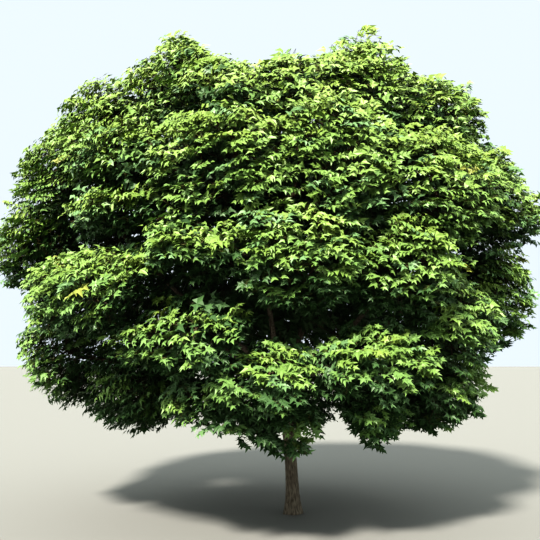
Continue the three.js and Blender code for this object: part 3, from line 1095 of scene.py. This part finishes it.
# Limbs, branches, twigs and shoots as meshes
def spikes(feet, ends):
    """The points and faces of every shoot as a thin spike from its foot to its end."""
    way = unit(ends - feet)
    first = across(np.tile(SHOOT_ASIDE, (len(feet), 1)), way)
    second = np.cross(way, first)
    ring = [
        feet + SHOOT_RADIUS * (first * math.cos(angle) + second * math.sin(angle))
        for angle in turns(SHOOT_SIDES)
    ]
    points = np.stack([*ring, ends], axis=1)
    sides = np.array([(k, (k + 1) % SHOOT_SIDES, SHOOT_SIDES) for k in range(SHOOT_SIDES)])
    faces = sides[None] + (SHOOT_SIDES + 1) * np.arange(len(feet))[:, None, None]
    return points.reshape(-1, 3), faces.reshape(-1, 3)


def wood_piece(name, points, faces, material):
    """One object of the wood that no solid stands for."""
    piece = new_mesh(f"wood_{name}", points, faces, [material], smooth=True)
    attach(piece, "root")


def grow_wood(owner, shoots):
    """The bark of trunk and boughs, and all the wood that grows on from it to the ends of the shoots."""
    boughs = [bough_line(n) for n in bough_nodes]
    bark_piece(boughs)
    limbs = limb_network([smooth_line(line, radii, BOUGH_PLACES)[0] for line, radii in boughs], owner)
    tubes = {"limb": Tubes(LIMB_SIDES), "branch": Tubes(BRANCH_SIDES), "twig": Tubes(TWIG_SIDES)}
    for limb in limbs:
        tubes["limb"].add(limb.places, branch_radius(limb.loads))
        grow_branch(limb, np.flatnonzero(owner == limb.mass), shoots.base, tubes)
    twig_bark = plain_material("twig_bark", TWIG_COLOUR, TWIG_ROUGHNESS, TWIG_SPECULAR)
    for name, tube in tubes.items():
        wood_piece(name, *tube.arrays(), twig_bark)
    ends = shoots.base + shoots.way * shoots.length[:, None] + shoots.bend
    wood_piece("shoot", *spikes(shoots.base, ends), twig_bark)


def grow_tree():
    """All the pieces of the tree, from the tips of its shoots inward and then out to the leaves."""
    tips = Tips(*(np.concatenate(pair) for pair in zip(scatter_tips(), scatter_inner_tips())))
    tips = draw_into_tiers(tips)
    shoots = grow_shoots(tips)
    tones = deal_colours(tips, shoots.inner)
    grow_wood(tips.owner, shoots)
    star_top = STAR_LEAF_TOP + STAR_LEAF_FADE * rng.normal(size=len(tips.places))
    starry = (tips.places[:, 2] < star_top) & ~shoots.inner
    star_leaves = place_leaves(shoots, starry, leaf_outline(HALF_STAR_LEAF), LEAF_PAIRS, LEAF_WIDTH)
    upper_leaves = place_leaves(
        shoots, ~starry, leaf_outline(HALF_UPPER_LEAF), UPPER_PAIRS, UPPER_LEAF_WIDTH
    )
    leaf_pieces(tips.owner, shoots.inner, tones, (star_leaves, upper_leaves))


# Floor, light and camera
def sky():
    """A pale backdrop for the camera, and a soft light on the tree."""
    world = bpy.data.worlds.new("sky")
    world.use_nodes = True
    nodes = world.node_tree.nodes
    links = world.node_tree.links
    seen = nodes["Background"]
    seen.inputs["Color"].default_value = SKY_SEEN
    seen.inputs["Strength"].default_value = 1.0
    light = nodes.new("ShaderNodeBackground")
    light.inputs["Color"].default_value = SKY_LIGHT
    light.inputs["Strength"].default_value = SKY_STRENGTH
    ray = nodes.new("ShaderNodeLightPath")
    either = nodes.new("ShaderNodeMixShader")
    links.new(ray.outputs["Is Camera Ray"], either.inputs["Fac"])
    links.new(light.outputs["Background"], either.inputs[1])
    links.new(seen.outputs["Background"], either.inputs[2])
    links.new(either.outputs["Shader"], nodes["World Output"].inputs["Surface"])
    bpy.context.scene.world = world


def sunlight():
    sun = bpy.data.objects.new("sun", bpy.data.lights.new("sun", "SUN"))
    sun.data.energy = SUN_STRENGTH
    sun.data.angle = SUN_SPREAD
    sun.data.color = SUN_COLOUR
    sun.rotation_euler = Vector(to_sun).to_track_quat("Z", "Y").to_euler()
    bpy.context.scene.collection.objects.link(sun)


def floor():
    bpy.ops.mesh.primitive_plane_add(size=FLOOR_SIZE, location=(0, 0, -FLOOR_DROP))
    ground = bpy.context.object
    ground.name = "floor"
    ground.data.materials.append(
        plain_material("floor_pale", FLOOR_COLOUR, FLOOR_ROUGHNESS, FLOOR_SPECULAR)
    )


def camera():
    seen = bpy.data.objects.new("camera", bpy.data.cameras.new("camera"))
    seen.location = CAMERA_PLACE
    seen.rotation_euler = (math.radians(CAMERA_LEVEL + CAMERA_PITCH), 0, 0)
    seen.data.lens = CAMERA_LENS
    seen.data.sensor_width = SENSOR_WIDTH
    bpy.context.scene.collection.objects.link(seen)
    bpy.context.scene.camera = seen


grow_tree()
camera()
sky()
sunlight()
floor()
bpy.context.scene.view_settings.view_transform = "Standard"
bpy.context.scene.view_settings.look = "High Contrast"
